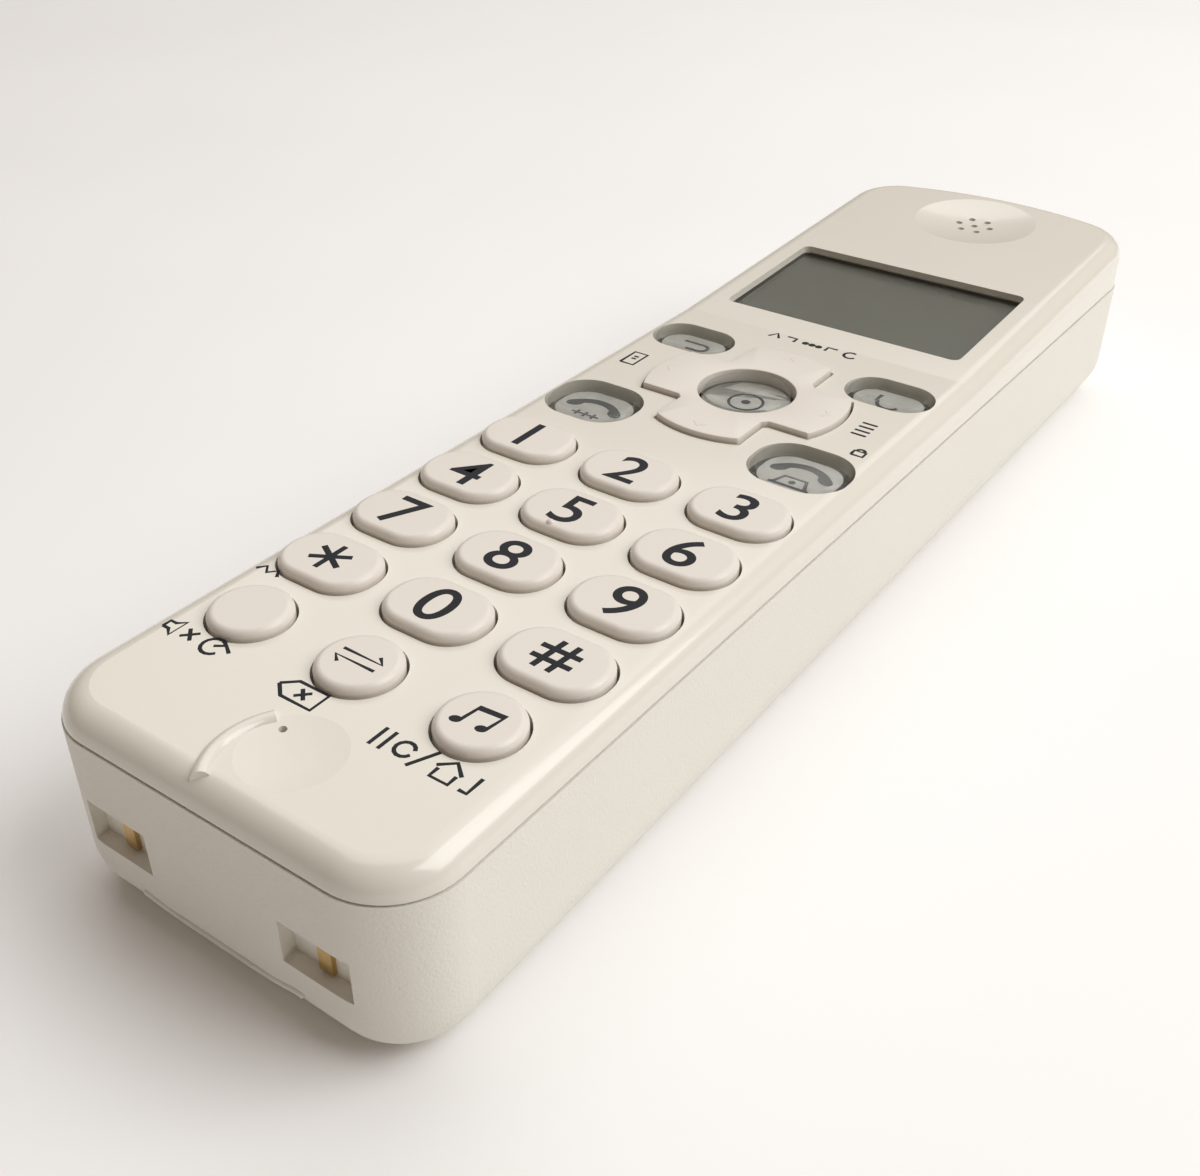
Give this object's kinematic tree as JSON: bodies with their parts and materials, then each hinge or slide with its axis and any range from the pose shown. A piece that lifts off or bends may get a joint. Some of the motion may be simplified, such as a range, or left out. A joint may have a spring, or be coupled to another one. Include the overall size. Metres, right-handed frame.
{
  "type": "cordless phone handset",
  "caption": "Slim cordless phone handset with number keys, navigator, display window, battery cover and end charging contacts.",
  "frame": {"origin": "under the middle of the handset, on the plane it rests on when it lies on its back", "axes": "+X to the handset's right, +Y towards the earpiece, +Z out of the face"},
  "size_m": [0.046, 0.176, 0.0259],
  "materials": {
    "front_plastic": "gloss",
    "rear_plastic": "fine spark texture",
    "key_plastic": "satin",
    "clear_window": "gloss",
    "clear_key": "gloss",
    "silver_print": "satin",
    "display_grey": "matte",
    "black_plastic": "matte",
    "silicone": "matte",
    "spring_steel": "satin",
    "board_green": "satin",
    "tin_plate": "satin",
    "foam": "matte",
    "black_rubber": "matte",
    "battery_sleeve": "gloss",
    "brass": "satin"
  },
  "bodies": {
    "handset": {"front_cover": "front_plastic", "rear_cover": "rear_plastic", "display_window": "clear_window", "display_panel": "display_grey", "display_holder": "black_plastic", "keypad_mat": "silicone", "snap_domes": "spring_steel", "main_board": "board_green", "rf_shield": "tin_plate", "processor": "black_plastic", "earpiece_speaker": "tin_plate", "earpiece_gasket": "foam", "microphone": "tin_plate", "microphone_boot": "black_rubber", "ringer_speaker": "tin_plate", "ringer_gasket": "foam", "battery_pack": "battery_sleeve", "battery_contacts": "brass", "charge_contact_left": "brass", "charge_contact_right": "brass", "antenna": "brass", "case_screws": "spring_steel", "board_screws": "spring_steel"},
    "battery_cover": {"battery_cover": "rear_plastic"},
    "key_1": {"key_1": "key_plastic"},
    "key_2": {"key_2": "key_plastic"},
    "key_3": {"key_3": "key_plastic"},
    "key_4": {"key_4": "key_plastic"},
    "key_5": {"key_5": "key_plastic"},
    "key_6": {"key_6": "key_plastic"},
    "key_7": {"key_7": "key_plastic"},
    "key_8": {"key_8": "key_plastic"},
    "key_9": {"key_9": "key_plastic"},
    "key_star": {"key_star": "key_plastic"},
    "key_0": {"key_0": "key_plastic"},
    "key_hash": {"key_hash": "key_plastic"},
    "round_key_left": {"round_key_left": "key_plastic"},
    "round_key_middle": {"round_key_middle": "key_plastic"},
    "melody_key": {"melody_key": "key_plastic"},
    "talk_key": {"talk_key": "clear_key", "talk_key_plate": "silver_print"},
    "end_key": {"end_key": "clear_key", "end_key_plate": "silver_print"},
    "soft_key_left": {"soft_key_left": "clear_key", "soft_key_left_plate": "silver_print"},
    "soft_key_right": {"soft_key_right": "clear_key", "soft_key_right_plate": "silver_print"},
    "nav_button": {"nav_button": "clear_key", "nav_button_plate": "silver_print"},
    "nav_rocker": {"nav_rocker": "black_plastic"},
    "nav_pad": {"nav_pad": "key_plastic"}
  },
  "joints": [
    {"name": "battery_cover_slide", "type": "slide", "parent": "handset", "child": "battery_cover", "axis": [0, -1, 0], "range_m": [0, 0.066]},
    {"name": "key_1_press", "type": "slide", "parent": "handset", "child": "key_1", "axis": [0, 0, -1], "range_m": [0, 0.0008], "stiffness_N_per_m": 1200, "deforming": ["keypad_mat"]},
    {"name": "key_2_press", "type": "slide", "parent": "handset", "child": "key_2", "axis": [0, 0, -1], "range_m": [0, 0.0008], "stiffness_N_per_m": 1200, "deforming": ["keypad_mat"]},
    {"name": "key_3_press", "type": "slide", "parent": "handset", "child": "key_3", "axis": [0, 0, -1], "range_m": [0, 0.0008], "stiffness_N_per_m": 1200, "deforming": ["keypad_mat"]},
    {"name": "key_4_press", "type": "slide", "parent": "handset", "child": "key_4", "axis": [0, 0, -1], "range_m": [0, 0.0008], "stiffness_N_per_m": 1200, "deforming": ["keypad_mat"]},
    {"name": "key_5_press", "type": "slide", "parent": "handset", "child": "key_5", "axis": [0, 0, -1], "range_m": [0, 0.0008], "stiffness_N_per_m": 1200, "deforming": ["keypad_mat"]},
    {"name": "key_6_press", "type": "slide", "parent": "handset", "child": "key_6", "axis": [0, 0, -1], "range_m": [0, 0.0008], "stiffness_N_per_m": 1200, "deforming": ["keypad_mat"]},
    {"name": "key_7_press", "type": "slide", "parent": "handset", "child": "key_7", "axis": [0, 0, -1], "range_m": [0, 0.0008], "stiffness_N_per_m": 1200, "deforming": ["keypad_mat"]},
    {"name": "key_8_press", "type": "slide", "parent": "handset", "child": "key_8", "axis": [0, 0, -1], "range_m": [0, 0.0008], "stiffness_N_per_m": 1200, "deforming": ["keypad_mat"]},
    {"name": "key_9_press", "type": "slide", "parent": "handset", "child": "key_9", "axis": [0, 0, -1], "range_m": [0, 0.0008], "stiffness_N_per_m": 1200, "deforming": ["keypad_mat"]},
    {"name": "key_star_press", "type": "slide", "parent": "handset", "child": "key_star", "axis": [0, 0, -1], "range_m": [0, 0.0008], "stiffness_N_per_m": 1200, "deforming": ["keypad_mat"]},
    {"name": "key_0_press", "type": "slide", "parent": "handset", "child": "key_0", "axis": [0, 0, -1], "range_m": [0, 0.0008], "stiffness_N_per_m": 1200, "deforming": ["keypad_mat"]},
    {"name": "key_hash_press", "type": "slide", "parent": "handset", "child": "key_hash", "axis": [0, 0, -1], "range_m": [0, 0.0008], "stiffness_N_per_m": 1200, "deforming": ["keypad_mat"]},
    {"name": "round_key_left_press", "type": "slide", "parent": "handset", "child": "round_key_left", "axis": [0, 0, -1], "range_m": [0, 0.0008], "stiffness_N_per_m": 1200, "deforming": ["keypad_mat"]},
    {"name": "round_key_middle_press", "type": "slide", "parent": "handset", "child": "round_key_middle", "axis": [0, 0, -1], "range_m": [0, 0.0008], "stiffness_N_per_m": 1200, "deforming": ["keypad_mat"]},
    {"name": "melody_key_press", "type": "slide", "parent": "handset", "child": "melody_key", "axis": [0, 0, -1], "range_m": [0, 0.0008], "stiffness_N_per_m": 1200, "deforming": ["keypad_mat"]},
    {"name": "talk_key_press", "type": "slide", "parent": "handset", "child": "talk_key", "axis": [0, 0, -1], "range_m": [0, 0.0008], "stiffness_N_per_m": 1200, "deforming": ["keypad_mat"]},
    {"name": "end_key_press", "type": "slide", "parent": "handset", "child": "end_key", "axis": [0, 0, -1], "range_m": [0, 0.0008], "stiffness_N_per_m": 1200, "deforming": ["keypad_mat"]},
    {"name": "soft_key_left_press", "type": "slide", "parent": "handset", "child": "soft_key_left", "axis": [0, 0, -1], "range_m": [0, 0.0008], "stiffness_N_per_m": 1200, "deforming": ["keypad_mat"]},
    {"name": "soft_key_right_press", "type": "slide", "parent": "handset", "child": "soft_key_right", "axis": [0, 0, -1], "range_m": [0, 0.0008], "stiffness_N_per_m": 1200, "deforming": ["keypad_mat"]},
    {"name": "nav_button_press", "type": "slide", "parent": "handset", "child": "nav_button", "axis": [0, 0, -1], "range_m": [0, 0.0008], "stiffness_N_per_m": 1200, "deforming": ["keypad_mat"]},
    {"name": "nav_rocker_tilt", "type": "hinge", "parent": "handset", "child": "nav_rocker", "pos_m": [0, 0.0025, 0.0192], "axis": [0, 1, 0], "range_deg": [-2.5, 2.5], "stiffness_Nm_per_rad": 0.35, "deforming": ["keypad_mat"]},
    {"name": "nav_pad_tilt", "type": "hinge", "parent": "nav_rocker", "child": "nav_pad", "pos_m": [0, 0.0025, 0.0192], "axis": [1, 0, 0], "range_deg": [-2.5, 2.5], "stiffness_Nm_per_rad": 0.35, "deforming": ["keypad_mat"]}
  ]
}
